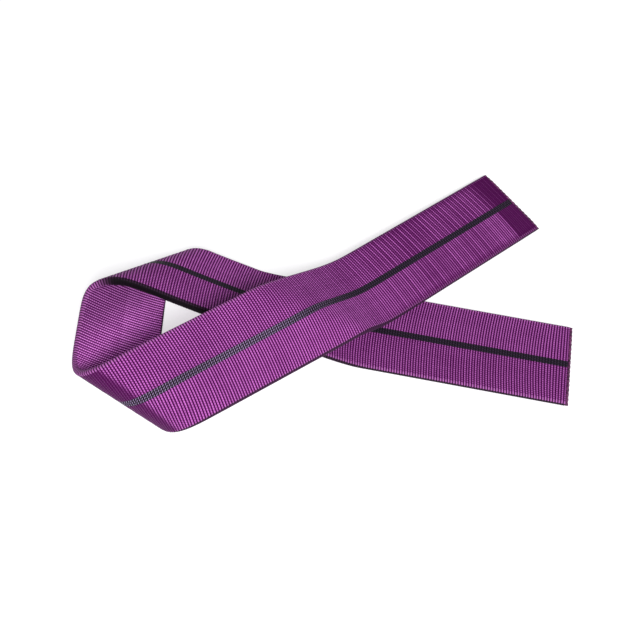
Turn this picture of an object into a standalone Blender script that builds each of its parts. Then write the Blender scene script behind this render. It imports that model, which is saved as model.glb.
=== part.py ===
"""Flat web sling: a length of heavy woven lifting web laid down in one open loop.

The web runs from its lower end, flat on the ground, under its own upper tail, up through an arch,
down and round the loop, and back over itself to its upper end.  It is woven in layers: a face ply
on either side of a marker stripe, a stuffer core, a back ply and a full-thickness selvedge along
each edge.  The web is cut across into five sections, so that both tails can be lifted.

A station is a distance along the web from its lower end.  Left and right are as seen when walking
from the lower end to the upper end on the striped face.  Metres, Z up.
"""

import math

import bmesh
import bpy
from mathutils import Matrix, Vector

# Overall sizes of the web.
WEB_WIDTH = 0.050
WEB_LENGTH = 0.629
WEB_THICKNESS = 0.003

# Layers and trim.
PLY_THICKNESS = 0.0008
SELVEDGE_WIDTH = 0.0016
STRIPE_WIDTH = 0.004
SEAL_LENGTH = 0.002
SELVEDGE_EDGE = 0.0004

# Clearances.
PLY_CLEARANCE = 0.0003
SIDE_CLEARANCE = 0.0003
SECTION_CLEARANCE = 0.0006
SEAL_CLEARANCE = 0.0003

# Stations of the cuts between the sections.
LOWER_OUTER_CUT = 0.028
LOWER_INNER_CUT = 0.056
UPPER_INNER_CUT = 0.550
UPPER_OUTER_CUT = 0.590

# Heading of the lower end over the ground, anticlockwise from +X.
HEADING = math.radians(172.6)

# Bends: middle station, length along the web, and turn, positive with the striped face outside.
BENDS = (
    (0.1543, 0.0360, math.radians(-16.7)),
    (0.2366, 0.0887, math.radians(-7.4)),
    (0.2554, 0.0654, math.radians(132.6)),
    (0.3485, 0.0965, math.radians(142.7)),
    (0.4621, 0.0360, math.radians(25.5)),
    (0.5031, 0.0365, math.radians(-23.0)),
)

# Slant of the web's straight lines: station, and advance along the web per unit of width.
SLANTS = (
    (0.070, 0.0),
    (0.1363, 1.144),
    (0.1543, 1.300),
    (0.2366, -0.677),
    (0.2554, -0.851),
    (0.3485, 0.533),
    (0.4621, 0.933),
    (0.5031, 0.0),
)

# Mesh steps: along the centre line, along a flat run, and turn per row in a bend.
PATH_STEP = 0.0005
FLAT_ROW = 0.014
BEND_ROW = 0.0040
BEND_CURVATURE = 1.0

HALF_WIDTH = WEB_WIDTH / 2
HALF_THICKNESS = WEB_THICKNESS / 2
INNER_EDGE = HALF_WIDTH - SELVEDGE_WIDTH - SIDE_CLEARANCE
STRIPE_EDGE = STRIPE_WIDTH / 2
FACE_EDGE = STRIPE_EDGE + SIDE_CLEARANCE
PLY_HEIGHT = HALF_THICKNESS - PLY_THICKNESS / 2
CORE_THICKNESS = WEB_THICKNESS - 2 * (PLY_THICKNESS + PLY_CLEARANCE)

SECTIONS = (
    ("lower_tail_outer", SEAL_LENGTH + SEAL_CLEARANCE, LOWER_OUTER_CUT),
    ("lower_tail_inner", LOWER_OUTER_CUT, LOWER_INNER_CUT),
    ("loop", LOWER_INNER_CUT, UPPER_INNER_CUT),
    ("upper_tail_inner", UPPER_INNER_CUT, UPPER_OUTER_CUT),
    ("upper_tail_outer", UPPER_OUTER_CUT, WEB_LENGTH - SEAL_LENGTH - SEAL_CLEARANCE),
)

PIVOT_STATIONS = {
    "lower_tail_outer": LOWER_OUTER_CUT,
    "lower_tail_inner": LOWER_INNER_CUT,
    "upper_tail_inner": UPPER_INNER_CUT,
    "upper_tail_outer": UPPER_OUTER_CUT,
}


def clear_scene():
    """Remove whatever the scene holds."""
    for old in list(bpy.data.objects):
        bpy.data.objects.remove(old, do_unlink=True)


def make_collection(name):
    """Make a collection in the scene."""
    made = bpy.data.collections.new(name)
    bpy.context.scene.collection.children.link(made)
    return made


def make_material(name, colour, roughness, sheen):
    """Make a plain Principled material."""
    material = bpy.data.materials.new(name)
    material.use_nodes = True
    shader = material.node_tree.nodes["Principled BSDF"]
    shader.inputs["Base Color"].default_value = (*colour, 1.0)
    shader.inputs["Roughness"].default_value = roughness
    shader.inputs["Sheen Weight"].default_value = sheen
    material.diffuse_color = (*colour, 1.0)
    return material


def make_materials():
    """Make one material for each kind of yarn and for the sealed ends."""
    return {
        "face": make_material("violet_face_weave", (0.30, 0.09, 0.30), 0.45, 0.3),
        "back": make_material("violet_back_weave", (0.26, 0.08, 0.27), 0.50, 0.3),
        "stripe": make_material("black_marker_yarn", (0.015, 0.012, 0.016), 0.50, 0.2),
        "core": make_material("violet_stuffer_yarn", (0.20, 0.06, 0.21), 0.60, 0.1),
        "selvedge": make_material("violet_selvedge_weave", (0.16, 0.04, 0.17), 0.45, 0.2),
        "seal": make_material("heat_sealed_edge", (0.10, 0.02, 0.09), 0.30, 0.0),
    }


def curvature(station):
    """Return the curvature of the web at a station."""
    total = 0.0
    for middle, length, turn in BENDS:
        phase = (station - middle) / length
        if abs(phase) < 0.5:
            total += turn / length * (1 + math.cos(math.tau * phase))
    return total


def slant(station):
    """Return the slant of the web's straight line at a station."""
    if station <= SLANTS[0][0]:
        return SLANTS[0][1]
    for (start, low), (end, high) in zip(SLANTS, SLANTS[1:]):
        if station <= end:
            return low + (high - low) * (station - start) / (end - start)
    return SLANTS[-1][1]


def trace_path():
    """Follow the web's middle and list its point, forward, right and back vectors."""
    forward = Vector((math.cos(HEADING), math.sin(HEADING), 0.0))
    back = Vector((0.0, 0.0, -1.0))
    right = back.cross(forward)
    point = Vector((0.0, 0.0, HALF_THICKNESS))
    path = [(point.copy(), forward.copy(), right.copy(), back.copy())]
    for i in range(math.ceil(WEB_LENGTH / PATH_STEP)):
        middle = (i + 0.5) * PATH_STEP
        axis = forward * slant(middle) + right
        angle = -curvature(middle) * axis.length * PATH_STEP
        turn = Matrix.Rotation(angle, 3, axis)
        point = point + forward * (PATH_STEP / 2)
        forward = (turn @ forward).normalized()
        point = point + forward * (PATH_STEP / 2)
        right = (turn @ right).normalized()
        back = forward.cross(right)
        path.append((point.copy(), forward.copy(), right.copy(), back.copy()))
    return path


def frame_at(path, station):
    """Return the point, forward, right and back vectors at a station."""
    place = min(max(station / PATH_STEP, 0.0), len(path) - 1.001)
    i = int(place)
    share = place - i
    return tuple(a.lerp(b, share) for a, b in zip(path[i], path[i + 1]))


def web_point(path, station, side, height):
    """Place a point of the web: side is towards its right edge, height towards its striped face."""
    point, forward, right, back = frame_at(path, station)
    return point + (right + forward * slant(station)) * side - back * height


def centre_path(path):
    """Shift the path so that the web is centred over the origin and stands on the ground."""
    corners = []
    for i in range(len(path)):
        for side in (-HALF_WIDTH, HALF_WIDTH):
            for height in (-HALF_THICKNESS, HALF_THICKNESS):
                corners.append(web_point(path, i * PATH_STEP, side, height))
    low = Vector([min(c[axis] for c in corners) for axis in range(3)])
    high = Vector([max(c[axis] for c in corners) for axis in range(3)])
    shift = Vector(((low.x + high.x) / 2, (low.y + high.y) / 2, low.z))
    return [(point - shift, forward, right, back) for point, forward, right, back in path]


def row_stations(start, end):
    """List the stations of the mesh rows, closer together where the web bends."""
    rows = [start]
    while rows[-1] < end:
        bent = abs(curvature(rows[-1] + BEND_ROW)) > BEND_CURVATURE
        bent = bent or abs(curvature(rows[-1])) > BEND_CURVATURE
        rows.append(rows[-1] + (BEND_ROW if bent else FLAT_ROW))
    scale = (end - start) / (rows[-1] - start)
    return [start + (row - start) * scale for row in rows]


def add_solidify(part, thickness):
    """Give a sheet its thickness, half to each side."""
    solidify = part.modifiers.new("thickness", "SOLIDIFY")
    solidify.thickness = thickness
    solidify.offset = 0.0
    solidify.use_even_offset = True


def add_edge_bevel(part, width):
    """Round the long edges of a band."""
    bevel = part.modifiers.new("rounding", "BEVEL")
    bevel.width = width
    bevel.segments = 1
    bevel.limit_method = "ANGLE"
    bevel.angle_limit = math.radians(60)


def add_band(kit, name, ends, sides, height, thickness, material):
    """Add one layer of the web between two stations and two sides, at a height from its middle."""
    stations = row_stations(*ends)
    mesh = bpy.data.meshes.new(name)
    bm = bmesh.new()
    bmesh.ops.create_grid(bm, x_segments=len(stations) - 1, y_segments=1, size=0.5)
    for vert in bm.verts:
        row = round((vert.co.x + 0.5) * (len(stations) - 1))
        side = sides[1] if vert.co.y > 0 else sides[0]
        vert.co = web_point(kit["path"], stations[row], side, height) - kit["pivot"]
    bm.to_mesh(mesh)
    bm.free()
    part = bpy.data.objects.new(name, mesh)
    part.location = kit["pivot"]
    kit["collection"].objects.link(part)
    mesh.materials.append(kit["materials"][material])
    add_solidify(part, thickness)
    return part


def add_plies(kit, section, ends):
    """Add the woven layers of one section."""
    sides = (-INNER_EDGE, -FACE_EDGE)
    add_band(kit, f"{section}_face_left", ends, sides, PLY_HEIGHT, PLY_THICKNESS, "face")
    sides = (FACE_EDGE, INNER_EDGE)
    add_band(kit, f"{section}_face_right", ends, sides, PLY_HEIGHT, PLY_THICKNESS, "face")
    sides = (-STRIPE_EDGE, STRIPE_EDGE)
    add_band(kit, f"{section}_stripe", ends, sides, PLY_HEIGHT, PLY_THICKNESS, "stripe")
    sides = (-INNER_EDGE, INNER_EDGE)
    add_band(kit, f"{section}_core", ends, sides, 0.0, CORE_THICKNESS, "core")
    add_band(kit, f"{section}_back", ends, sides, -PLY_HEIGHT, PLY_THICKNESS, "back")


def add_selvedges(kit, section, ends):
    """Add the full-thickness woven edges of one section."""
    inner = HALF_WIDTH - SELVEDGE_WIDTH
    for name, sides in (("left", (-HALF_WIDTH, -inner)), ("right", (inner, HALF_WIDTH))):
        part = add_band(
            kit, f"{section}_selvedge_{name}", ends, sides, 0.0, WEB_THICKNESS, "selvedge"
        )
        add_edge_bevel(part, SELVEDGE_EDGE)


def add_seal(kit, section, ends):
    """Add the bar of fused yarn across a cut end."""
    sides = (-HALF_WIDTH, HALF_WIDTH)
    part = add_band(kit, f"{section}_end_seal", ends, sides, 0.0, WEB_THICKNESS, "seal")
    add_edge_bevel(part, SELVEDGE_EDGE)


def pivot_point(path, section):
    """Return the point that a section turns about: on the striped face, at its inner cut."""
    if section not in PIVOT_STATIONS:
        return Vector((0.0, 0.0, 0.0))
    return web_point(path, PIVOT_STATIONS[section], 0.0, HALF_THICKNESS)


def add_section(kit, section, start, end):
    """Add every layer of one section, clear of its neighbours."""
    half_gap = SECTION_CLEARANCE / 2
    first = start if section == SECTIONS[0][0] else start + half_gap
    last = end if section == SECTIONS[-1][0] else end - half_gap
    kit["pivot"] = pivot_point(kit["path"], section)
    add_plies(kit, section, (first, last))
    add_selvedges(kit, section, (first, last))
    if section == SECTIONS[0][0]:
        add_seal(kit, section, (0.0, SEAL_LENGTH))
    if section == SECTIONS[-1][0]:
        add_seal(kit, section, (WEB_LENGTH - SEAL_LENGTH, WEB_LENGTH))


def main():
    """Build the web section by section."""
    clear_scene()
    kit = {
        "collection": make_collection("flat_web_sling"),
        "materials": make_materials(),
        "path": centre_path(trace_path()),
    }
    for section, start, end in SECTIONS:
        add_section(kit, section, start, end)


main()
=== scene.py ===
"""The looks of a flat web sling: a violet woven lifting web, laid down in one open loop.

The web is woven in layers, and each layer of each stretch is a piece of its own: a ribbed face ply
on either side of the black marker stripe, a plain back ply, a dense selvedge along each edge and a
fused bead across each cut end.  Every piece follows one lay, which bends a flat web as cloth bends,
without stretching it.  A stretch that crosses a joint is left where it lies, on no body.

A station is a distance along the web from its lower end.  The finishes and the gauge of the weave are
in millimetres, and everything else is in metres.
"""

from __future__ import annotations

import logging
import math
from dataclasses import dataclass, field
from enum import Enum
from typing import Any, Sequence, Union

import bpy
import numpy as np
from mathutils import Matrix, Vector


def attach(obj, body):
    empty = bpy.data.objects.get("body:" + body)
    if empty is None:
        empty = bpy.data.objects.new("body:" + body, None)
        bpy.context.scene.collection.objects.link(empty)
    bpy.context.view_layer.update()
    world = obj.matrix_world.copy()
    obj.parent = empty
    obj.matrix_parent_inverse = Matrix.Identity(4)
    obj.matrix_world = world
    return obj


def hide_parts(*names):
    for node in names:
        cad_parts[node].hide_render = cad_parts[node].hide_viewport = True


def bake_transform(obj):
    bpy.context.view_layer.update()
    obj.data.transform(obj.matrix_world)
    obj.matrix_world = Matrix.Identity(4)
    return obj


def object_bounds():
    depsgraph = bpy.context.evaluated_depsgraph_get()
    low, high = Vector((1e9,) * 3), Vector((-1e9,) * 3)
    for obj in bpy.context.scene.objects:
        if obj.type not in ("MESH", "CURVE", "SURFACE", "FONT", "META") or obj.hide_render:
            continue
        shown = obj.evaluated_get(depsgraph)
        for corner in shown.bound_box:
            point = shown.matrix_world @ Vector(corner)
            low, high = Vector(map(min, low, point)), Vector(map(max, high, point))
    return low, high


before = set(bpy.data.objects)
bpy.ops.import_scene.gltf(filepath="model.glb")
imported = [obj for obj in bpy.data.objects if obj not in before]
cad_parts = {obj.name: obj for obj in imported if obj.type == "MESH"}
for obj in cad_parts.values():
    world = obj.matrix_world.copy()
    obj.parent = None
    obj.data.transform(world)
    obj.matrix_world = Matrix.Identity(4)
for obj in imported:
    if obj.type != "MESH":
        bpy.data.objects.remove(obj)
CAD_BOUNDS = [list(corner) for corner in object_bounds()]
LOG = logging.getLogger("flat_web_sling")

MM_PER_METRE = 1000
WEB_LENGTH = 0.629
WEB_WIDTH = 0.050
WEB_THICKNESS = 0.003
FLAT_PLACE = "weave_mm"


# --------------------------------------------------------------------------------------------------
# Shader building
# --------------------------------------------------------------------------------------------------

Number = Union[int, float]
Colour = tuple[float, float, float, float]
Rise = tuple[float, float]


class Signal:
    """A number that varies over a surface, with Python's own operators."""

    def __init__(self, bench: "ShaderBench", socket: bpy.types.NodeSocket) -> None:
        """Wrap one output socket of a bench's material."""
        self.bench = bench
        self.socket = socket

    def _math(self, operation: str, *values: Union["Signal", Number]) -> "Signal":
        """Add one Math node on the values, in order, and return its result."""
        node = self.bench.add("ShaderNodeMath", {"operation": operation}, dict(enumerate(values)))
        return Signal(self.bench, node.outputs[0])

    def __add__(self, other: Union["Signal", Number]) -> "Signal":
        """Return self + other."""
        return self._math("ADD", self, other)

    def __radd__(self, other: Number) -> "Signal":
        """Return other + self."""
        return self._math("ADD", other, self)

    def __sub__(self, other: Union["Signal", Number]) -> "Signal":
        """Return self - other."""
        return self._math("SUBTRACT", self, other)

    def __rsub__(self, other: Number) -> "Signal":
        """Return other - self."""
        return self._math("SUBTRACT", other, self)

    def __mul__(self, other: Union["Signal", Number]) -> "Signal":
        """Return self * other."""
        return self._math("MULTIPLY", self, other)

    def __rmul__(self, other: Number) -> "Signal":
        """Return other * self."""
        return self._math("MULTIPLY", other, self)

    def __truediv__(self, other: Union["Signal", Number]) -> "Signal":
        """Return self / other."""
        return self._math("DIVIDE", self, other)

    def __rtruediv__(self, other: Number) -> "Signal":
        """Return other / self."""
        return self._math("DIVIDE", other, self)

    def __abs__(self) -> "Signal":
        """Return the size of the number."""
        return self._math("ABSOLUTE", self)

    def sine(self) -> "Signal":
        """Return the sine of the number."""
        return self._math("SINE", self)

    def floor(self) -> "Signal":
        """Return the whole part of the number."""
        return self._math("FLOOR", self)

    def fraction(self) -> "Signal":
        """Return what is left above the whole part."""
        return self._math("FRACT", self)

    def step_up(self, low: float, high: float) -> "Signal":
        """Rise smoothly from 0 to 1.

        Args:
            low: Where the rise starts.
            high: Where it ends.

        Returns:
            0 below low, 1 above high, and a smooth rise between.
        """
        settings = {"interpolation_type": "SMOOTHSTEP", "clamp": True}
        sockets = {0: self, 1: low, 2: high, 3: 0.0, 4: 1.0}
        return Signal(self.bench, self.bench.add("ShaderNodeMapRange", settings, sockets).outputs[0])


Place = tuple[Signal, Signal, Signal]


class ShaderBench:
    """Builds one material's nodes."""

    NOISE_ROUGHNESS = 0.55
    MIX_SHARE, MIX_FIRST, MIX_SECOND, MIX_COLOUR = 0, 6, 7, 2

    def __init__(self, name: str) -> None:
        """Start a material with only a Principled shader and an output.

        Args:
            name: The material's name.
        """
        self.material = bpy.data.materials.new(name)
        self.material.use_nodes = True
        self.tree = self.material.node_tree
        self.shader = self.tree.nodes["Principled BSDF"]

    def add(
        self, kind: str, settings: dict[str, Any], sockets: dict[Union[int, str], Any]
    ) -> bpy.types.Node:
        """Add one node.

        Args:
            kind: The node's type.
            settings: Its own settings, which are made before its inputs.
            sockets: The value or link of each input, by its name or number.

        Returns:
            The node.
        """
        node = self.tree.nodes.new(kind)
        for key, value in settings.items():
            setattr(node, key, value)
        for slot, value in sockets.items():
            self.feed(node.inputs[slot], value)
        return node

    def feed(self, socket: bpy.types.NodeSocket, value: Any) -> None:
        """Link a socket or set its value.

        Args:
            socket: The input.
            value: A signal, a socket, a number or a tuple, or None to leave the input as it is.
        """
        if isinstance(value, Signal):
            self.tree.links.new(value.socket, socket)
        elif isinstance(value, bpy.types.NodeSocket):
            self.tree.links.new(value, socket)
        elif value is not None:
            socket.default_value = value

    def weave(self) -> Place:
        """Read the place in the flat web.

        Returns:
            The place along the web, across it and through it, in millimetres.
        """
        place = self.add("ShaderNodeAttribute", {"attribute_name": FLAT_PLACE}, {})
        split = self.add("ShaderNodeSeparateXYZ", {}, {0: place.outputs["Vector"]})
        return tuple(Signal(self, out) for out in split.outputs)

    def point(self, x: Any, y: Any, z: Any = 0.0) -> bpy.types.NodeSocket:
        """Return a vector socket made of three numbers."""
        return self.add("ShaderNodeCombineXYZ", {}, {"X": x, "Y": y, "Z": z}).outputs[0]

    def noise(self, place: bpy.types.NodeSocket, detail: float = 3.0) -> Signal:
        """Return a cloudy pattern from 0 to 1 over a place."""
        sockets = {"Vector": place, "Scale": 1.0, "Detail": detail, "Roughness": self.NOISE_ROUGHNESS}
        return Signal(self, self.add("ShaderNodeTexNoise", {}, sockets).outputs[0])

    def chance(self, number: Signal, draw: float) -> Signal:
        """Return a chance number from 0 to 1 for each whole number, different in each draw."""
        sockets = {"Vector": self.point(number, draw)}
        return Signal(self, self.add("ShaderNodeTexWhiteNoise", {}, sockets).outputs[0])

    def blend(self, share: Any, first: Any, second: Any) -> bpy.types.NodeSocket:
        """Return a colour between two colours: the first where the share is 0, the second where it is 1."""
        sockets = {self.MIX_SHARE: share, self.MIX_FIRST: first, self.MIX_SECOND: second}
        return self.add("ShaderNodeMix", {"data_type": "RGBA"}, sockets).outputs[self.MIX_COLOUR]

    def relief(self, height: Signal, depth: float, strength: float) -> bpy.types.NodeSocket:
        """Return a normal that shows a fine relief, whose depth in millimetres is that of a height of 1."""
        sockets = {"Strength": strength, "Distance": depth / MM_PER_METRE, "Height": height}
        return self.add("ShaderNodeBump", {}, sockets).outputs[0]

    def finish(
        self, colour: Any, roughness: Any, normal: Any, constants: dict[str, Any]
    ) -> bpy.types.Material:
        """Join the pattern to the shader.

        Args:
            colour: The base colour.
            roughness: The roughness.
            normal: The normal, or None.
            constants: Values of the shader's other sockets.

        Returns:
            The finished material.
        """
        self.feed(self.shader.inputs["Base Color"], colour)
        self.feed(self.shader.inputs["Roughness"], roughness)
        self.feed(self.shader.inputs["Normal"], normal)
        for name, value in constants.items():
            self.shader.inputs[name].default_value = value
        return self.material


# --------------------------------------------------------------------------------------------------
# Finishes
# --------------------------------------------------------------------------------------------------


@dataclass(frozen=True)
class Gauge:
    """How fine the weave is, and where its ends are flattened and painted dark as shade."""

    rib_pitch: float = 1.52
    yarn_pitch: float = 1.31
    rib_height: float = 0.22
    odd_rib_share: float = 0.78
    bow: float = 1.6
    width: float = WEB_WIDTH * MM_PER_METRE
    length: float = WEB_LENGTH * MM_PER_METRE
    lower_press: float = 3.0
    lower_press_start: float = 1.2
    upper_press: float = 17.0
    soft_flat_shade: Rise = (24.0, 11.0)
    crisp_flat_shade: Rise = (17.6, 16.2)
    middle: Rise = (-0.5, 0.5)
    pair_change: Rise = (0.499, 0.501)
    groove_shift: float = 0.25
    yarn_shift: float = 0.5

    def right_half(self, across: Signal) -> Signal:
        """Return 1 to the right of the web's middle and 0 to its left."""
        return across.step_up(*self.middle)

    def rib_wave(self, along: Signal) -> Signal:
        """Return 0 in the grooves between ribs and 1 on their crests."""
        return abs((along * (math.pi / self.rib_pitch)).sine())

    def odd_rib(self, along: Signal) -> Signal:
        """Return 1 on every second rib and 0 on the others."""
        return (along / (2 * self.rib_pitch)).fraction().step_up(*self.pair_change)

    def odd_groove(self, along: Signal) -> Signal:
        """Return 1 in every second groove and 0 in the others."""
        return (along / (2 * self.rib_pitch) + self.groove_shift).fraction().step_up(*self.pair_change)

    def yarn_wave(self, across: Signal, stagger: Signal) -> Signal:
        """Return 0 between neighbouring yarns and 1 on them, half a pitch over where stagger is 1."""
        return abs(((across / self.yarn_pitch + stagger * self.yarn_shift) * math.pi).sine())

    def flat_shaded_ends(self, along: Signal, right: Signal) -> Signal:
        """Find the ends of the web, which are flattened and painted dark and smooth as painted shade.

        Args:
            along: The place along the web.
            right: 1 to the right of the stripe, where the painted shade has a crisp edge, and 0 to its left.

        Returns:
            1 on the flattened, shaded ends and 0 elsewhere.
        """
        lower = 1 - along.step_up(self.lower_press_start, self.lower_press)
        soft = along.step_up(*(self.length - reach for reach in self.soft_flat_shade))
        crisp = along.step_up(*(self.length - reach for reach in self.crisp_flat_shade))
        return lower + soft + (crisp - soft) * right


@dataclass(frozen=True)
class Cloud:
    """A cloudy pattern, by how fast it changes in a millimetre along, across and through the web.

    A pattern that doesn't change through the web is set apart from the others by its layer.
    """

    along: float
    across: float
    through: float = 0.0
    layer: float = 0.0
    detail: float = 3.0

    def over(self, bench: ShaderBench, place: Place) -> Signal:
        """Spread the pattern over the web.

        Args:
            bench: The bench of the material.
            place: The place in the flat web.

        Returns:
            The pattern, from 0 to 1.
        """
        along, across, through = place
        third = through * self.through if self.through else self.layer
        return bench.noise(bench.point(along * self.along, across * self.across, third), self.detail)


@dataclass(frozen=True)
class WovenFinish:
    """Ribbed polyester yarn, dyed in the mass, with painted highlights on its rib tops and painted shade in
    its grooves.

    Towards the upper end every second rib, which lies lower, is painted darker as shade, and the ribs differ
    more.  Painted shade also darkens the web up to a station, the flattened ends and a dull band along the
    fold, with a near-black line of painted shadow at the fold's edge.
    """

    name: str
    slot: str
    # The crest colour is the yarn's violet with a painted highlight; the groove and hole colours are that
    # violet darkened as painted shade.
    crest: Colour
    groove: Colour
    hole: Colour = (0.006, 0.0004, 0.006, 1.0)
    # The smooth colour is painted shade, used on the flattened ends and along the fold.
    smooth: Colour = (0.048, 0.002, 0.044, 1.0)
    sheen_tint: Colour = (0.390, 0.085, 0.376, 1.0)
    shine: Colour = (1.0, 0.25, 1.0, 1.0)
    gauge: Gauge = field(default_factory=Gauge)
    fuzz: Cloud = Cloud(1.4, 5.0, detail=2.0)
    mottle: Cloud = Cloud(0.35, 0.5, layer=9.0)
    wear: Cloud = Cloud(0.012, 0.03, layer=3.0, detail=2.0)
    shade: Cloud = Cloud(0.05, 0.09)

    lit_rib: Rise = (0.55, 0.96)
    lit: float = 0.62
    shade_share: float = 0.40
    yarn_draw: float = 7.0
    yarn_tone: float = 0.10
    rib_draw: float = 0.0
    rib_tone: float = 0.16
    yarn_gap: Rise = (0.20, 0.85)
    left_breaks: float = 0.80
    right_breaks: float = 0.50
    hole_rise: Rise = (0.25, 0.80)
    hole_share: float = 0.85

    late_rise: Rise = (470.0, 560.0)
    late_rib_tone: float = 0.55
    late_dulling: float = 0.20
    late_right_dulling: float = 0.15
    late_rim_dulling: float = 0.50
    rim_rise: Rise = (19.5, 23.5)
    wear_rise: Rise = (0.30, 0.70)
    wear_share: float = 0.35
    late_share: float = 0.65
    low_rib_dulling: float = 0.80
    right_evenness: float = 0.40
    even_again: Rise = (588.0, 597.0)
    end_evenness: float = 0.50

    # Painted shade: up to a station the colour is drawn towards the near-black gap colour; on the face this
    # darkens the lower tail, on the back the arch's underside.
    painted_shade_rise: Rise = (110.0, 170.0)
    painted_shade_slope: float = 0.0
    painted_shade: float = 0.20
    # Painted shade: how far the flattened ends take the dark smooth colour.
    end_shade_share: float = 0.88
    smooth_fuzz: float = 0.4
    smooth_mottle: float = 0.4
    mottle_rise: Rise = (0.35, 0.75)
    # Painted shade: a dull band along the fold, where the web turns away from the light, and a near-black
    # line of painted shadow at the fold's edge, next to the floor.
    fold_slope: float = 0.42
    fold_middle: float = 352.5
    fold_reach: Rise = (4.0, 8.0)
    fold_shadow_middle: float = 343.0
    fold_shadow_reach: Rise = (0.8, 4.8)
    fold_shade_share: float = 0.85
    fuzz_rise: Rise = (0.58, 0.92)
    fuzz_share: float = 0.05

    roughness: float = 0.46
    groove_roughness: float = 0.18
    fuzz_roughness: float = 0.12
    press_gloss: float = 0.08
    strand_pitch: float = 0.27
    strand_slant: float = 0.9
    strand_height: float = 0.25
    crown_height: float = 0.6
    press_flattening: float = 0.75
    fuzz_height: float = 0.25
    hole_depth: float = 0.5
    relief_depth: float = 0.14
    relief_strength: float = 0.7
    sheen: float = 0.03
    sheen_roughness: float = 0.4
    specular: float = 0.18

    def make(self) -> bpy.types.Material:
        """Make the material.

        Returns:
            The finished material.
        """
        bench = ShaderBench(self.name)
        place = bench.weave()
        along, across, _ = place
        right = self.gauge.right_half(across)
        flat_shaded_ends = self.gauge.flat_shaded_ends(along, right)
        fuzz = self.fuzz.over(bench, place)
        crown = self.gauge.yarn_wave(across, self.gauge.odd_rib(along))
        crest = self._crests(bench, place, right, crown)
        hole = self._holes(along, across)
        # Painted highlight on the rib crests, painted shade in the grooves and near-black painted shade in
        # the gaps between the yarns.
        colour = bench.blend(crest, self.groove, self.crest)
        colour = bench.blend(hole, colour, self.hole)
        colour = self._marked(bench, place, colour, flat_shaded_ends, fuzz)
        roughness = self.roughness + self.groove_roughness * (1 - crest)
        roughness = roughness + fuzz * self.fuzz_roughness - flat_shaded_ends * self.press_gloss
        strand = (across * (math.pi / self.strand_pitch) + along * self.strand_slant).sine()
        height = crown * self.crown_height + abs(strand) * self.strand_height
        height = height * (1 - flat_shaded_ends * self.press_flattening) + fuzz * self.fuzz_height
        normal = bench.relief(height - hole * self.hole_depth, self.relief_depth, self.relief_strength)
        constants = {
            "Sheen Weight": self.sheen,
            "Sheen Roughness": self.sheen_roughness,
            "Sheen Tint": self.sheen_tint,
            "Specular IOR Level": self.specular,
            "Specular Tint": self.shine,
        }
        return bench.finish(colour, roughness, normal, constants)

    def _marked(
        self, bench: ShaderBench, place: Place, colour: bpy.types.NodeSocket, flat_shaded_ends: Signal, fuzz: Signal
    ) -> bpy.types.NodeSocket:
        """Lay painted shade over the weave, on the web up to a station, on the flattened ends and along the
        fold, and then loose fibres.

        Args:
            bench: The bench of the material.
            place: The place in the flat web.
            colour: The weave's colour, before the painted shade.
            flat_shaded_ends: 1 on the flattened ends, which carry painted shade, and 0 elsewhere.
            fuzz: The pattern of loose fibres.

        Returns:
            The marked colour.
        """
        along, across, _ = place
        # Painted shade: the web is drawn towards the near-black gap colour up to a station.
        out_of_shade = (along + across * self.painted_shade_slope).step_up(*self.painted_shade_rise)
        colour = bench.blend((1 - out_of_shade) * self.painted_shade, colour, self.hole)
        mottle = self.mottle.over(bench, place).step_up(*self.mottle_rise)
        flat_share = fuzz * self.smooth_fuzz + mottle * self.smooth_mottle
        flat = bench.blend(flat_share, self.smooth, self.groove)
        # Painted shade: the flattened ends take the dark smooth colour.
        colour = bench.blend(flat_shaded_ends * self.end_shade_share, colour, flat)
        # Painted shade: a dull band along the fold, where the web turns away from the light.
        off_fold = abs(along - self.fold_middle - across * self.fold_slope)
        colour = bench.blend((1 - off_fold.step_up(*self.fold_reach)) * self.fold_shade_share, colour, flat)
        # Painted shadow: a near-black line at the fold's edge, next to the floor.
        off_fold_shadow = abs(along - self.fold_shadow_middle - across * self.fold_slope)
        fold_shadowed = (1 - off_fold_shadow.step_up(*self.fold_shadow_reach)) * self.fold_shade_share
        colour = bench.blend(fold_shadowed, colour, self.hole)
        return bench.blend(fuzz.step_up(*self.fuzz_rise) * self.fuzz_share, colour, self.crest)

    def _crests(self, bench: ShaderBench, place: Place, right: Signal, crown: Signal) -> Signal:
        """Find how much of the light crest colour, which carries a painted highlight, shows.

        Args:
            bench: The bench of the material.
            place: The place in the flat web.
            right: 1 to the right of the stripe and 0 to its left.
            crown: The wave of the yarns across the web.

        Returns:
            1 on a fully lit crest and 0 in the grooves.
        """
        along, across, _ = place
        gauge = self.gauge
        late = along.step_up(*self.late_rise)
        wear_and_rib_light = self.wear.over(bench, place).step_up(*self.wear_rise)
        evenness = right * (self.right_evenness + along.step_up(*self.even_again) * self.end_evenness)
        uneven = (wear_and_rib_light * self.wear_share + late * self.late_share) * (1 - evenness)
        breaks = self.left_breaks + right * (self.right_breaks - self.left_breaks)
        broken = (1 - crown.step_up(*self.yarn_gap)) * breaks
        rib_tone = bench.chance((along / gauge.rib_pitch).floor(), self.rib_draw)
        rib_tone = rib_tone * (self.rib_tone + late * self.late_rib_tone)
        yarn_tone = bench.chance((across / gauge.yarn_pitch).floor(), self.yarn_draw) * self.yarn_tone
        shade = self.shade.over(bench, place) * self.shade_share
        crest = gauge.rib_wave(along).step_up(*self.lit_rib) * (1 - broken)
        # Painted shade: every second rib, which lies lower, is painted darker, more so towards the upper end.
        crest = crest * (1 - gauge.odd_rib(along) * uneven * self.low_rib_dulling)
        crest = crest * (self.lit - late * self.late_dulling + rib_tone + yarn_tone + shade)
        rim = abs(across).step_up(*self.rim_rise)
        return crest * (1 - late * right * self.late_right_dulling) * (1 - late * rim * self.late_rim_dulling)

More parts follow.
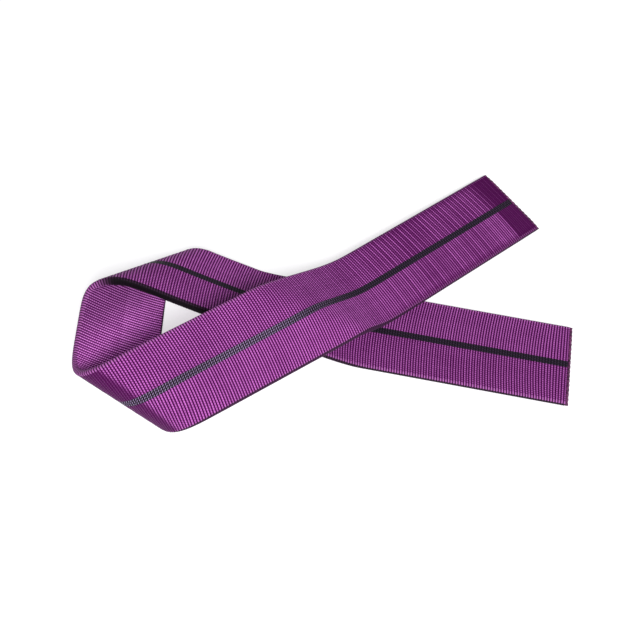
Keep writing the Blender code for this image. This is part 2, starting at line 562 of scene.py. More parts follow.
    def _holes(self, along: Signal, across: Signal) -> Signal:
        """Find the gaps between the yarns, which take a near-black colour as painted shade.

        Args:
            along: The place along the web.
            across: The place across the web.

        Returns:
            The share of the gaps' colour: most in the middle of a gap and 0 on the yarns.
        """
        groove = (1 - self.gauge.rib_wave(along)).step_up(*self.hole_rise)
        gap = (1 - self.gauge.yarn_wave(across, self.gauge.odd_groove(along))).step_up(*self.hole_rise)
        return groove * gap * self.hole_share


@dataclass(frozen=True)
class StripeFinish:
    """Black marker yarns, tied down by grey-violet binder yarns in a slant.

    The binder's flecks are partly painted sheen, which shows most on the stretch between shown_from and
    shown_until.
    """

    name: str
    slot: str
    black: Colour = (0.004, 0.002, 0.005, 1.0)
    # A faint painted highlight on the rib tops of the black yarns.
    wear_and_rib_light: Colour = (0.015, 0.008, 0.019, 1.0)
    binder: Colour = (0.420, 0.290, 0.540, 1.0)
    gauge: Gauge = field(default_factory=Gauge)
    fuzz: Cloud = Cloud(1.6, 4.0, detail=2.0)
    patch: Cloud = Cloud(0.02, 0.05, layer=5.0, detail=1.0)
    rib_rise: Rise = (0.35, 0.95)
    rib_share: float = 0.45
    fuzz_share: float = 0.5
    shown_from: Rise = (300.0, 350.0)
    shown_until: Rise = (430.0, 500.0)
    shown_fall: float = 0.9
    hidden_share: float = 0.06
    shown_share: float = 0.50
    patch_rise: Rise = (0.35, 0.65)
    patch_share: float = 0.25
    fleck_slant: Rise = (0.70, 0.97)
    fleck_rib: Rise = (0.35, 0.85)
    roughness: float = 0.52
    fuzz_roughness: float = 0.2
    rib_gloss: float = 0.08
    slant_relief: Rise = (0.1, 0.9)
    slant_height: float = 0.7
    fuzz_height: float = 0.3
    relief_depth: float = 0.14
    relief_strength: float = 0.7
    sheen: float = 0.03
    sheen_roughness: float = 0.4
    specular: float = 0.12

    def make(self) -> bpy.types.Material:
        """Make the material.

        Returns:
            The finished material.
        """
        bench = ShaderBench(self.name)
        place = bench.weave()
        along, across, _ = place
        gauge = self.gauge
        rib = gauge.rib_wave(along)
        slant = abs(((along / gauge.rib_pitch + across / gauge.yarn_pitch) * math.pi).sine())
        fuzz = self.fuzz.over(bench, place)
        patch = self.patch.over(bench, place).step_up(*self.patch_rise)
        lit = rib.step_up(*self.rib_rise) * (self.rib_share + fuzz * self.fuzz_share)
        colour = bench.blend(lit, self.black, self.wear_and_rib_light)
        # Painted sheen: the binder's flecks show most on one stretch of the web.
        shown = along.step_up(*self.shown_from) * (1 - along.step_up(*self.shown_until) * self.shown_fall)
        shown = self.hidden_share + shown * (self.shown_share + patch * self.patch_share)
        fleck = slant.step_up(*self.fleck_slant) * rib.step_up(*self.fleck_rib) * shown
        colour = bench.blend(fleck, colour, self.binder)
        roughness = self.roughness + fuzz * self.fuzz_roughness - rib * self.rib_gloss
        height = slant.step_up(*self.slant_relief) * self.slant_height + fuzz * self.fuzz_height
        normal = bench.relief(height, self.relief_depth, self.relief_strength)
        constants = {
            "Sheen Weight": self.sheen,
            "Sheen Roughness": self.sheen_roughness,
            "Specular IOR Level": self.specular,
        }
        return bench.finish(colour, roughness, normal, constants)


@dataclass(frozen=True)
class SelvedgeFinish:
    """The dense woven edge: ribbed violet on both faces and dark on most of its outer side, partly dark edge
    yarn and partly painted shade.

    Painted shade: the outer side is near black up to about 270 mm, and so is the top of the left edge from
    about 150 mm, under the arch; past that the left side takes the top's colour until about 430 mm.  The
    right edge has a dark rim of painted shade from about 270 mm to about 500 mm.
    """

    name: str
    slot: str
    # The crest colour is violet with a painted highlight on the rib tops; the groove colour is painted shade.
    crest: Colour = (0.560, 0.170, 0.550, 1.0)
    groove: Colour = (0.045, 0.002, 0.042, 1.0)
    # The side colour is partly dark edge yarn and partly painted shade.
    side: Colour = (0.024, 0.006, 0.024, 1.0)
    edge_shade: Colour = (0.003, 0.0015, 0.003, 1.0)
    gauge: Gauge = field(default_factory=Gauge)
    fuzz: Cloud = Cloud(1.5, 3.0, 3.0, detail=2.0)
    edge_shade_start: Rise = (140.0, 165.0)
    edge_shade_end: Rise = (262.0, 276.0)
    edge_shade_share: float = 0.92
    unshaded_side_end: Rise = (420.0, 445.0)
    late_rise: Rise = (470.0, 540.0)
    late_dulling: float = 0.6
    shade_rim_reach: float = 1.05
    side_depth: Rise = (0.42, 0.12)
    side_share: float = 0.86
    side_fuzz: float = 0.14
    rib_rise: Rise = (0.50, 0.96)
    rib_share: float = 0.50
    rib_fuzz: float = 0.35
    roughness: float = 0.55
    fuzz_roughness: float = 0.18
    knit_slant: float = 0.8
    knit_height: float = 0.6
    fuzz_height: float = 0.4
    relief_depth: float = 0.14
    relief_strength: float = 0.6
    sheen: float = 0.03
    sheen_roughness: float = 0.4
    specular: float = 0.10

    def make(self) -> bpy.types.Material:
        """Make the material.

        Returns:
            The finished material.
        """
        bench = ShaderBench(self.name)
        place = bench.weave()
        along, across, through = place
        fuzz = self.fuzz.over(bench, place)
        colour = self._colour(bench, along, across, fuzz)
        roughness = self.roughness + fuzz * self.fuzz_roughness
        knit = abs(((along * 2 / self.gauge.rib_pitch + through * self.knit_slant) * math.pi).sine())
        height = knit * self.knit_height + fuzz * self.fuzz_height
        normal = bench.relief(height, self.relief_depth, self.relief_strength)
        constants = {
            "Sheen Weight": self.sheen,
            "Sheen Roughness": self.sheen_roughness,
            "Specular IOR Level": self.specular,
        }
        return bench.finish(colour, roughness, normal, constants)

    def _colour(
        self, bench: ShaderBench, along: Signal, across: Signal, fuzz: Signal
    ) -> bpy.types.NodeSocket:
        """Colour the two faces of the edge and its outer side.

        Args:
            bench: The bench of the material.
            along: The place along the web.
            across: The place across the web.
            fuzz: The pattern of loose fibres.

        Returns:
            The colour.
        """
        right = self.gauge.right_half(across)
        left = 1 - right
        late = along.step_up(*self.late_rise)
        past_edge_shade = along.step_up(*self.edge_shade_end)
        # Painted shade: a dark rim along the right edge, from the end of the arch to the upper tail.
        rim = past_edge_shade * (1 - late) * right
        edge = (abs(across) + rim * self.shade_rim_reach).step_up(
            *(self.gauge.width / 2 - depth for depth in self.side_depth)
        )
        ribbed = self.gauge.rib_wave(along).step_up(*self.rib_rise)
        ribbed = ribbed * (self.rib_share + fuzz * self.rib_fuzz) * (1 - late * self.late_dulling)
        top = bench.blend(ribbed, self.groove, self.crest)
        # Painted shade: the left edge's top turns near black along the arch.
        edge_shade = left * along.step_up(*self.edge_shade_start) * (1 - past_edge_shade)
        top = bench.blend(edge_shade * self.edge_shade_share, top, self.edge_shade)
        # Painted shade: the outer side is near black up to the end of the arch.
        side = bench.blend(past_edge_shade, self.edge_shade, self.side)
        side = bench.blend(past_edge_shade * (1 - along.step_up(*self.unshaded_side_end)) * left, side, top)
        return bench.blend(edge * (self.side_share + fuzz * self.side_fuzz), top, side)


@dataclass(frozen=True)
class FusedFinish:
    """Polyester melted along a hot cut: dark, glassy and a little lumpy."""

    name: str
    slot: str
    dark: Colour = (0.030, 0.006, 0.028, 1.0)
    violet: Colour = (0.220, 0.045, 0.160, 1.0)
    lumps: Cloud = Cloud(0.9, 0.9, 0.9)
    bead: Cloud = Cloud(2.0, 0.35, 2.0, detail=2.0)
    lump_rise: Rise = (0.35, 0.75)
    roughness: float = 0.28
    bead_roughness: float = 0.25
    relief_depth: float = 0.3
    relief_strength: float = 0.6
    specular: float = 0.4

    def make(self) -> bpy.types.Material:
        """Make the material.

        Returns:
            The finished material.
        """
        bench = ShaderBench(self.name)
        place = bench.weave()
        lumps = self.lumps.over(bench, place)
        colour = bench.blend(lumps.step_up(*self.lump_rise), self.dark, self.violet)
        roughness = self.roughness + self.bead.over(bench, place) * self.bead_roughness
        normal = bench.relief(lumps, self.relief_depth, self.relief_strength)
        return bench.finish(colour, roughness, normal, {"Specular IOR Level": self.specular})


class Yarn(Enum):
    """The finishes of the sling, by what wears them."""

    FACE = WovenFinish(
        "violet_face_ribs",
        "violet_face_weave",
        crest=(0.520, 0.138, 0.515, 1.0),
        groove=(0.062, 0.0006, 0.058, 1.0),
    )
    BACK = WovenFinish(
        "violet_back_ribs",
        "violet_back_weave",
        # The back's crest and groove are brighter than the face's: painted light on the loop's inner face.
        crest=(0.940, 0.310, 0.940, 1.0),
        groove=(0.105, 0.0014, 0.100, 1.0),
        # Painted shade on the back up to about 266 to 302 mm, under the arch.
        painted_shade_rise=(266.0, 302.0),
        painted_shade_slope=1.0,
        painted_shade=0.50,
    )
    STRIPE = StripeFinish("black_marker_ribs", "black_marker_yarn")
    SELVEDGE = SelvedgeFinish("violet_selvedge_edge", "violet_selvedge_weave")
    FUSED = FusedFinish("fused_cut_end", "heat_sealed_edge")


class Wardrobe:
    """Makes each finish once and hands it out."""

    def __init__(self) -> None:
        """Start with no material made."""
        self.made: dict[Yarn, bpy.types.Material] = {}

    def dress(self, piece: bpy.types.Object, yarn: Yarn) -> None:
        """Give a piece its finish.

        Args:
            piece: The piece.
            yarn: Its finish.
        """
        if yarn not in self.made:
            self.made[yarn] = yarn.value.make()
        piece.data.materials.append(self.made[yarn])


# --------------------------------------------------------------------------------------------------
# The lay of the web
# --------------------------------------------------------------------------------------------------


@dataclass(frozen=True)
class Bend:
    """One bend of the web: its middle station, its length and its turn in degrees."""

    middle: float
    length: float
    turn: float


@dataclass
class WebLay:
    """The shape that the flat web is laid in."""

    length: float = WEB_LENGTH
    width: float = WEB_WIDTH
    thickness: float = WEB_THICKNESS
    heading: float = 172.6
    step: float = 0.0005
    bends: tuple[Bend, ...] = (
        Bend(0.1543, 0.0360, -16.7),
        Bend(0.2366, 0.0887, -7.4),
        Bend(0.2554, 0.0654, 132.6),
        Bend(0.3485, 0.0965, 142.7),
        Bend(0.4621, 0.0360, 25.5),
        Bend(0.5031, 0.0365, -23.0),
    )
    slant_stations: tuple[float, ...] = (0.070, 0.1363, 0.1543, 0.2366, 0.2554, 0.3485, 0.4621, 0.5031)
    slant_values: tuple[float, ...] = (0.0, 1.144, 1.300, -0.677, -0.851, 0.533, 0.933, 0.0)

    def __post_init__(self) -> None:
        """Trace the middle of the web and set it down where the CAD web lies."""
        self.stations = np.arange(math.ceil(self.length / self.step) + 1) * self.step
        self.slants = np.interp(self.stations, self.slant_stations, self.slant_values)
        self.points, self.axes = self._trace()
        self._set_down()

    def curvature(self, station: float) -> float:
        """Add up the bends at a station.

        Args:
            station: The distance along the web.

        Returns:
            The curvature, positive with the striped face outside.
        """
        total = 0.0
        for bend in self.bends:
            phase = (station - bend.middle) / bend.length
            if abs(phase) < 0.5:
                total += math.radians(bend.turn) / bend.length * (1 + math.cos(math.tau * phase))
        return total

    def _trace(self) -> tuple[np.ndarray, np.ndarray]:
        """Follow the middle of the web.

        Returns:
            Its points, and at each the forward, right and back directions.
        """
        heading = math.radians(self.heading)
        forward = Vector((math.cos(heading), math.sin(heading), 0.0))
        back = Vector((0.0, 0.0, -1.0))
        right = back.cross(forward)
        point = Vector((0.0, 0.0, self.thickness / 2))
        points, axes = [tuple(point)], [(tuple(forward), tuple(right), tuple(back))]
        for station in self.stations[:-1] + self.step / 2:
            axis = forward * float(np.interp(station, self.slant_stations, self.slant_values)) + right
            turn = Matrix.Rotation(-self.curvature(station) * axis.length * self.step, 3, axis)
            point = point + forward * (self.step / 2)
            forward = (turn @ forward).normalized()
            point = point + forward * (self.step / 2)
            right = (turn @ right).normalized()
            back = forward.cross(right)
            points.append(tuple(point))
            axes.append((tuple(forward), tuple(right), tuple(back)))
        return np.array(points), np.array(axes)

    def _set_down(self) -> None:
        """Move the lay so that its box is centred and stands where the CAD box does."""
        half, thin = self.width / 2, self.thickness / 2
        corners = np.concatenate(
            [self.place(self.stations, side, height) for side in (-half, half) for height in (-thin, thin)]
        )
        low, high = corners.min(0), corners.max(0)
        cad_low, cad_high = (np.array(corner) for corner in CAD_BOUNDS)
        shift = (cad_low + cad_high - low - high) / 2
        shift[2] = cad_low[2] - low[2]
        self.points = self.points + shift
        LOG.info("lay set down, its box differs by %s m", high - low - cad_high + cad_low)

    def place(self, along: np.ndarray, side: float, height: Union[float, np.ndarray]) -> np.ndarray:
        """Lay places of the flat web.

        Args:
            along: Stations in the flat web, one for each place.
            side: How far towards the right edge.
            height: How far out of the striped face, from the middle.

        Returns:
            One point for each place.
        """
        at = np.interp(along, self.stations + self.slants * side, self.stations)
        past = np.asarray(along - at - np.interp(at, self.stations, self.slants) * side)[:, None]
        centre = np.stack([np.interp(at, self.stations, self.points[:, k]) for k in range(3)], axis=1)
        forward, right, back = (
            np.stack([np.interp(at, self.stations, self.axes[:, row, k]) for k in range(3)], axis=1)
            for row in range(3)
        )
        slant = np.interp(at, self.stations, self.slants)[:, None]
        lift = np.broadcast_to(np.asarray(height, float), along.shape)[:, None]
        return centre + (right + forward * slant) * side - back * lift + forward * past

    def spot(self, station: float) -> Vector:
        """Return the middle of the web at a station."""
        return Vector(self.place(np.array([station]), 0.0, 0.0)[0])


# --------------------------------------------------------------------------------------------------
# Building the woven pieces
# --------------------------------------------------------------------------------------------------


@dataclass(frozen=True)
class RingPoint:
    """One corner of a woven layer's section: its place, and how far the ribs and the roll move it."""

    side: float
    height: float
    out_side: float = 0.0
    out_height: float = 0.0
    roll: float = 0.0


@dataclass
class Loom:
    """Turns a section and a stretch of the web into a closed ribbed mesh."""

    lay: WebLay
    gauge: Gauge = field(default_factory=Gauge)
    rib_phases: tuple[float, ...] = (0.0, 0.15, 0.33, 0.5, 0.67, 0.85)
    least_row_gap: float = 1e-5
    rib_roundness: float = 0.75
    rib_variation: float = 0.12
    rib_steps: tuple[float, float] = (12.9898, 4.137)
    least_relief: float = 0.15
    bow_fade: float = 0.020
    roll_start: float = 0.165
    roll_end: float = 0.278
    roll_depth: float = 0.0017
    roll_swell: float = 2.6
    probe: float = 0.0005
    sharp_from: float = 62.0

    def rows(self, start: float, end: float) -> np.ndarray:
        """List the stations of the rows: the same phases of each rib, and both ends.

        Args:
            start: The first station.
            end: The last station.

        Returns:
            The stations in order.
        """
        pitch = self.gauge.rib_pitch / MM_PER_METRE
        ribs = np.arange(math.floor(start / pitch), math.ceil(end / pitch) + 1)
        every = (ribs[:, None] + np.array(self.rib_phases)).ravel() * pitch
        inside = every[(every > start + self.least_row_gap) & (every < end - self.least_row_gap)]
        return np.concatenate([[start], inside, [end]])

    def relief(self, stations: np.ndarray) -> np.ndarray:
        """Work out how far the ribs stand out, each a little differently.

        Args:
            stations: Stations along the web.

        Returns:
            One height for each station, lower near the ends.
        """
        gauge = self.gauge
        phase = stations / (gauge.rib_pitch / MM_PER_METRE)
        rib = np.floor(phase)
        wave = np.abs(np.sin(math.pi * phase)) ** self.rib_roundness
        uneven = 1 + self.rib_variation * np.sin(rib * self.rib_steps[0]) * np.cos(rib * self.rib_steps[1])
        uneven = uneven * np.where(rib % 2 == 1, gauge.odd_rib_share, 1.0)
        lower = stations * MM_PER_METRE / gauge.lower_press
        upper = (gauge.length - stations * MM_PER_METRE) / gauge.upper_press
        fade = np.clip(np.minimum(lower, upper), self.least_relief, 1)
        return gauge.rib_height / MM_PER_METRE * wave * uneven * fade

    def roll(self, stations: np.ndarray) -> np.ndarray:
        """Return how far the loop's open edge rolls over at each station of the arch."""
        phase = np.clip((stations - self.roll_start) / (self.roll_end - self.roll_start), 0, 1)
        return self.roll_depth * np.clip(self.roll_swell * np.sin(math.pi * phase), 0, 1)

    def bow(self, stations: np.ndarray, side: float) -> np.ndarray:
        """Work out how far the ribs run ahead of their ends, which is nothing at the web's cut ends.

        Args:
            stations: Stations along the web.
            side: How far towards the right edge.

        Returns:
            One distance for each station.
        """
        ahead = self.gauge.bow / MM_PER_METRE * (1 - (2 * side / self.lay.width) ** 2)
        fade = np.clip(np.minimum(stations, self.lay.length - stations) / self.bow_fade, 0, 1)
        return ahead * fade * fade * (3 - 2 * fade)

    def weave(self, name: str, start: float, end: float, ring: Sequence[RingPoint]) -> bpy.types.Object:
        """Loft a section along a stretch of the web.

        Args:
            name: The piece's name.
            start: The first station.
            end: The last station.
            ring: The section's corners, in order round it.

        Returns:
            The closed piece, with its place in the flat web stored on every point.
        """
        stations = self.rows(start, end)
        ribs = self.relief(stations)
        places = np.zeros((len(stations), len(ring), 3))
        flat = np.zeros_like(places)
        for k, corner in enumerate(ring):
            height = corner.height + corner.out_height * ribs - corner.roll * self.roll(stations)
            side = corner.side + corner.out_side * ribs
            at = stations + self.bow(stations, corner.side)
            middle = self.lay.place(at, corner.side, height)
            edge = self.lay.place(at, corner.side + self.probe, height)
            places[:, k] = middle + (edge - middle) * ((side - corner.side) / self.probe)[:, None]
            flat[:, k] = np.stack([stations, side, height], axis=1)
        return self.tube(name, places, flat)

    def tube(self, name: str, places: np.ndarray, flat: np.ndarray) -> bpy.types.Object:
        """Join rows of corners into a closed tube with two end caps.

        Args:
            name: The piece's name.
            places: Every row's points.
            flat: Each point's place in the flat web.

        Returns:
            The piece.
        """
        count, corners, _ = places.shape
        faces = []
        for row in range(count - 1):
            first, second = row * corners, (row + 1) * corners
            for k in range(corners):
                n = (k + 1) % corners
                faces.append((first + k, second + k, second + n, first + n))
        faces.append(tuple(range(corners)))
        faces.append(tuple(range((count - 1) * corners, count * corners))[::-1])
        mesh = bpy.data.meshes.new(name)
        mesh.from_pydata(places.reshape(-1, 3).tolist(), [], faces)
        stored = mesh.attributes.new(FLAT_PLACE, "FLOAT_VECTOR", "POINT")
        stored.data.foreach_set("vector", (flat * MM_PER_METRE).astype(np.float32).ravel())
        mesh.polygons.foreach_set("use_smooth", [True] * len(mesh.polygons))
        mesh.set_sharp_from_angle(angle=math.radians(self.sharp_from))
        piece = bpy.data.objects.new(name, mesh)
        bpy.context.scene.collection.objects.link(piece)
        return piece


def squared(share: float, power: float) -> float:
    """Return a share from -1 to 1 raised towards its end, which makes a round section squarer."""
    return math.copysign(abs(share) ** power, share)


# --------------------------------------------------------------------------------------------------
# The stretches of the web
# --------------------------------------------------------------------------------------------------


class Edge(Enum):
    """The web's two edges, by which way each lies from the middle."""

    LEFT = -1.0
    RIGHT = 1.0


class Held(Enum):
    """How a stretch of the web is held in its shape."""

    LAID = "laid"
    FOLDED = "folded"


@dataclass(frozen=True)
class Layer:
    """One woven layer: its name, its section, its finish and the CAD layers that it stands for."""

    name: str
    ring: list[RingPoint]
    yarn: Yarn
    stands_for: tuple[str, ...]


@dataclass
class WebStretch:
    """One stretch of the web, with every layer it is woven in.

    A stretch rides on one body; a stretch that crosses a joint names two bodies but is left where it lies, on
    no body.
    """

    name: str
    start: float
    end: float
    body: str
    next_body: str = ""
    bend_start: float = 0.0
    bend_end: float = 0.0
    held: Held = Held.LAID
    stripe_width: float = 0.0040
    selvedge_width: float = 0.0017
    ply: float = 0.0009
    ply_gap: float = 0.00005
    face_columns: int = 6
    stripe_columns: int = 2
    back_columns: int = 12
    core_columns: int = 4
    edge_turns: tuple[float, ...] = tuple(np.linspace(80, -80, 7))
    edge_fullness: float = 0.7
    edge_squareness: float = 0.55
    edge_rib_out: float = 0.25
    edge_rib_up: float = 0.9

    def build(self, loom: Loom, wardrobe: Wardrobe) -> list[bpy.types.Object]:
        """Weave, dress and fasten every layer of the stretch.

        Args:
            loom: What weaves the layers.
            wardrobe: What dresses them.

        Returns:
            The pieces, the back ply first.
        """
        pieces = []
        for layer in self.layers(loom.lay):
            piece = loom.weave(f"{self.name}_{layer.name}", self.start, self.end, layer.ring)
            wardrobe.dress(piece, layer.yarn)
            self.replace(piece, *layer.stands_for)
            self.fasten(loom.lay, piece)
            pieces.append(piece)
        return pieces

    def layers(self, lay: WebLay) -> list[Layer]:
        """List the layers of the web.

        Args:
            lay: The lay of the web.

        Returns:
            The back ply, the two face plies, the marker stripe and the two selvedges.
        """
        face, stripe = lay.width / 2 - self.selvedge_width, self.stripe_width / 2
        left = self._face_ring(-face, -stripe, lay, self.face_columns)
        right = self._face_ring(stripe, face, lay, self.face_columns)
        middle = self._face_ring(-stripe, stripe, lay, self.stripe_columns)
        left_edge, right_edge = (self._edge_ring(edge, lay) for edge in Edge)
        return [
            Layer("back_ply", self._back_ring(face, lay), Yarn.BACK, ("back", "core")),
            Layer("face_ply_left", left, Yarn.FACE, ("face_left",)),
            Layer("face_ply_right", right, Yarn.FACE, ("face_right",)),
            Layer("marker_stripe", middle, Yarn.STRIPE, ("stripe",)),
            Layer("selvedge_edge_left", left_edge, Yarn.SELVEDGE, ("selvedge_left",)),
            Layer("selvedge_edge_right", right_edge, Yarn.SELVEDGE, ("selvedge_right",)),
        ]

    def _face_ring(self, low: float, high: float, lay: WebLay, columns: int) -> list[RingPoint]:
        """Draw the section of a face ply, ribbed on top and flat below.

        Args:
            low: Its left side.
            high: Its right side.
            lay: The lay of the web.
            columns: How many strips its ribbed top has.

        Returns:
            The section's corners.
        """
        top, bottom = lay.thickness / 2, lay.thickness / 2 - self.ply
        ring = [RingPoint(side, top, 0.0, 1.0) for side in np.linspace(low, high, columns + 1)]
        return ring + [RingPoint(side, bottom) for side in (high, (low + high) / 2, low)]

    def _back_ring(self, outer: float, lay: WebLay) -> list[RingPoint]:
        """Draw the section of the back ply, which is ribbed below and carries the core's thickness.

        Args:
            outer: How far it reaches to either side.
            lay: The lay of the web.

        Returns:
            The section's corners.
        """
        bottom, top = -lay.thickness / 2, lay.thickness / 2 - self.ply - self.ply_gap
        below = np.linspace(outer, -outer, self.back_columns + 1)
        above = np.linspace(-outer, outer, self.core_columns + 1)
        return [
            *(RingPoint(side, bottom, 0.0, -1.0) for side in below),
            *(RingPoint(side, top) for side in above),
        ]

    def _edge_ring(self, edge: Edge, lay: WebLay) -> list[RingPoint]:
        """Draw the rounded section of a selvedge, whose lower half rolls over on the left.

        Args:
            edge: The edge it runs along.
            lay: The lay of the web.

        Returns:
            The section's corners.
        """
        sign, thin, inner = edge.value, lay.thickness / 2, lay.width / 2 - self.selvedge_width
        ring = [RingPoint(sign * inner, thin, 0.0, 1.0)]
        for turn in self.edge_turns:
            out, up = math.cos(math.radians(turn)), math.sin(math.radians(turn))
            side = inner + self.selvedge_width * out ** self.edge_fullness
            height = thin * squared(up, self.edge_squareness)
            roll = max(0.0, -up) if edge is Edge.LEFT else 0.0
            rib = (sign * self.edge_rib_out * out, self.edge_rib_up * up)
            ring.append(RingPoint(sign * side, height, *rib, roll))
        ring.append(RingPoint(sign * inner, -thin, 0.0, -1.0))
        return ring[::-1] if edge is Edge.LEFT else ring

    def replace(self, piece: bpy.types.Object, *layers: str) -> None:
        """Hide the CAD layers of the same stretch that a piece stands for."""
        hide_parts(*(f"{self.name}_{layer}" for layer in layers))

    def fasten(self, lay: WebLay, piece: bpy.types.Object) -> None:
        """Ride a piece on its body; a piece across a joint has its place baked into its mesh and rides on no
        body.

        Args:
            lay: The lay of the web.
            piece: The piece, in place.
        """
        if self.next_body:
            start, end = lay.spot(self.bend_start), lay.spot(self.bend_end)
            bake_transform(piece)
        else:
            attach(piece, self.body)


@dataclass
class FusedEnd:
    """The bead of melted yarn across a cut end.

    Its lumps are two waves along the bead, in radians for each row, and it is thinner at its tips.
    """

    stretch: WebStretch
    station: float
    inward: float
    depth: float = 0.0010
    lumps: float = 0.00012
    long_wave: float = 0.9
    short_wave: float = 2.3
    short_start: float = 1.0
    short_share: float = 0.6
    height_share: float = 0.7
    squareness: float = 0.6
    tip_height: float = 0.35
    tip_rise: float = 5.0
    rows: int = 121
    corners: int = 10

    def build(self, loom: Loom, wardrobe: Wardrobe) -> bpy.types.Object:
        """Make the bead and fasten it with its stretch.

        Args:
            loom: What joins its points.
            wardrobe: What dresses it.

        Returns:
            The bead.
        """
        lay = loom.lay
        sides = np.linspace(-lay.width / 2, lay.width / 2, self.rows)
        flat = np.array([self._row(row, side, lay.thickness) for row, side in enumerate(sides)])
        places = np.array([[lay.place(np.array([x]), y, z)[0] for x, y, z in line] for line in flat])
        piece = loom.tube(f"{self.stretch.name}_fused_end", places, flat)
        if self.inward > 0:
            piece.data.flip_normals()
        wardrobe.dress(piece, Yarn.FUSED)
        self.stretch.replace(piece, "end_seal")
        self.stretch.fasten(lay, piece)
        return piece

    def _row(self, row: int, side: float, thickness: float) -> list[tuple[float, float, float]]:
        """List the corners of one section of the bead.

        Args:
            row: The section's number.
            side: How far it is towards the right edge.
            thickness: The web's thickness.

        Returns:
            Each corner's station, side and height.
        """
        short = self.short_share * math.sin(row * self.short_wave + self.short_start)
        wobble = self.lumps * (math.sin(row * self.long_wave) + short)
        from_tip = min(row, self.rows - 1 - row)
        full = min(1.0, self.tip_height + self.tip_rise * from_tip / self.rows)
        half = thickness / 2 + wobble * self.height_share
        made = []
        for k in range(self.corners):
            turn = math.tau * k / self.corners
            along = self.station + self.inward * (self.depth + (self.depth + wobble) * math.cos(turn))
            made.append((along, side, half * squared(math.sin(turn), self.squareness) * full))
        return made


@dataclass
class Sling:
    """The whole web sling."""

    lay: WebLay = field(default_factory=WebLay)
    wardrobe: Wardrobe = field(default_factory=Wardrobe)
    stretches: tuple[WebStretch, ...] = (
        WebStretch(
            "lower_tail_outer", start=0.0019, end=0.0380, body="lower_tail_inner",
            next_body="lower_tail_outer", bend_start=0.0370, bend_end=0.0190,
        ),
        WebStretch(
            "lower_tail_inner", start=0.0380, end=0.0669, body="loop",
            next_body="lower_tail_inner", bend_start=0.0655, bend_end=0.0465,
        ),
        WebStretch("loop", start=0.0669, end=0.5366, body="loop", held=Held.FOLDED),
        WebStretch(
            "upper_tail_inner", start=0.5366, end=0.5746, body="loop",
            next_body="upper_tail_inner", bend_start=0.5400, bend_end=0.5600,
        ),
        WebStretch(
            "upper_tail_outer", start=0.5746, end=0.6271, body="upper_tail_inner",
            next_body="upper_tail_outer", bend_start=0.5800, bend_end=0.6000,
        ),
    )

    def build(self) -> None:
        """Build every stretch and both fused ends, in order along the web."""
        loom = Loom(self.lay)
        for stretch in self.stretches:
            for piece in stretch.build(loom, self.wardrobe):
                LOG.info("%s: %d points", piece.name, len(piece.data.vertices))
        lower = FusedEnd(self.stretches[0], station=0.0, inward=1.0)
        upper = FusedEnd(self.stretches[-1], station=self.lay.length, inward=-1.0)
        for end in (lower, upper):
            bead = end.build(loom, self.wardrobe)
            LOG.info("%s: %d points", bead.name, len(bead.data.vertices))


# --------------------------------------------------------------------------------------------------
# The studio
# --------------------------------------------------------------------------------------------------


@dataclass(frozen=True)
class SoftBox:
    """One soft square studio light."""

    name: str
    place: tuple[float, float, float]
    size: float
    power: float

    def build(self, target: Vector) -> None:
        """Hang the light and turn it towards a point.

        Args:
            target: The point it lights.
        """
        data = bpy.data.lights.new(self.name, "AREA")
        data.shape = "SQUARE"
        data.size = self.size
        data.energy = self.power
        lamp = bpy.data.objects.new(self.name, data)
        lamp.location = self.place
        lamp.rotation_euler = (target - Vector(self.place)).to_track_quat("-Z", "Y").to_euler()
        bpy.context.scene.collection.objects.link(lamp)


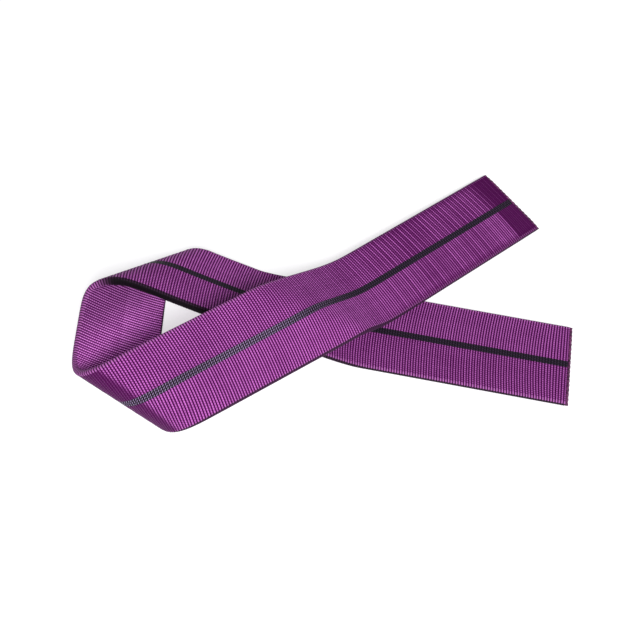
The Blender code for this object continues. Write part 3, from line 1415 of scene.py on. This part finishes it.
@dataclass
class Studio:
    """A pale floor, soft lights and the camera."""

    lay: WebLay
    eye_from_crossing: tuple[float, float, float] = (-0.02786, -0.23854, 0.45011)
    crossing_station: float = 0.118
    pitch: float = 61.67
    roll: float = 3.775
    lens: float = 49.29
    sensor: float = 36.0
    floor_half: float = 8.0
    floor_gap: float = 0.0004
    floor_colour: Colour = (0.50, 0.50, 0.51, 1.0)
    floor_roughness: float = 0.9
    floor_specular: float = 0.1
    floor_glow: float = 0.62
    sky: Colour = (1.0, 1.0, 1.0, 1.0)
    sky_strength: float = 0.30
    lit_point: tuple[float, float, float] = (0.0, 0.0, 0.02)
    boxes: tuple[SoftBox, ...] = (
        SoftBox("key_box", (0.16, -0.78, 1.02), size=0.36, power=16.5),
        SoftBox("side_box", (0.85, -0.15, 0.80), size=0.50, power=2.5),
    )

    def build(self) -> None:
        """Set up the floor, the lights and the camera."""
        self._floor()
        self._sky()
        for box in self.boxes:
            box.build(Vector(self.lit_point))
        self._camera()

    def _floor(self) -> None:
        """Lay the pale floor just under the web."""
        half = self.floor_half
        mesh = bpy.data.meshes.new("studio_floor")
        corners = [(-half, -half, 0.0), (half, -half, 0.0), (half, half, 0.0), (-half, half, 0.0)]
        mesh.from_pydata(corners, [], [(0, 1, 2, 3)])
        floor = bpy.data.objects.new("studio_floor", mesh)
        floor.location.z = CAD_BOUNDS[0][2] - self.floor_gap
        constants = {
            "Specular IOR Level": self.floor_specular,
            "Emission Color": self.sky,
            "Emission Strength": self.floor_glow,
        }
        bench = ShaderBench("pale_floor")
        mesh.materials.append(bench.finish(self.floor_colour, self.floor_roughness, None, constants))
        bpy.context.scene.collection.objects.link(floor)

    def _sky(self) -> None:
        """Light the room evenly."""
        world = bpy.data.worlds.new("studio_air")
        world.use_nodes = True
        background = world.node_tree.nodes["Background"]
        background.inputs["Color"].default_value = self.sky
        background.inputs["Strength"].default_value = self.sky_strength
        bpy.context.scene.world = world
        bpy.context.scene.view_settings.view_transform = "Standard"

    def _camera(self) -> None:
        """Set the camera up over the near side of the web."""
        data = bpy.data.cameras.new("camera")
        data.sensor_width = self.sensor
        data.lens = self.lens
        camera = bpy.data.objects.new("camera", data)
        crossing = self.lay.spot(self.crossing_station)
        pitch, roll = math.radians(self.pitch), math.radians(self.roll)
        ahead = Vector((0.0, math.cos(pitch), -math.sin(pitch)))
        across = Vector((1.0, 0.0, 0.0))
        up = across.cross(ahead)
        turned = across * math.cos(roll) + up * math.sin(roll)
        upright = up * math.cos(roll) - across * math.sin(roll)
        turn = Matrix((turned, upright, -ahead)).transposed()
        camera.matrix_world = Matrix.Translation(crossing + Vector(self.eye_from_crossing)) @ turn.to_4x4()
        bpy.context.scene.collection.objects.link(camera)
        bpy.context.scene.camera = camera


def main() -> None:
    """Build the sling, then the studio round it."""
    logging.basicConfig(level=logging.INFO, format="%(message)s")
    sling = Sling()
    sling.build()
    Studio(sling.lay).build()


if __name__ == "__main__":
    main()
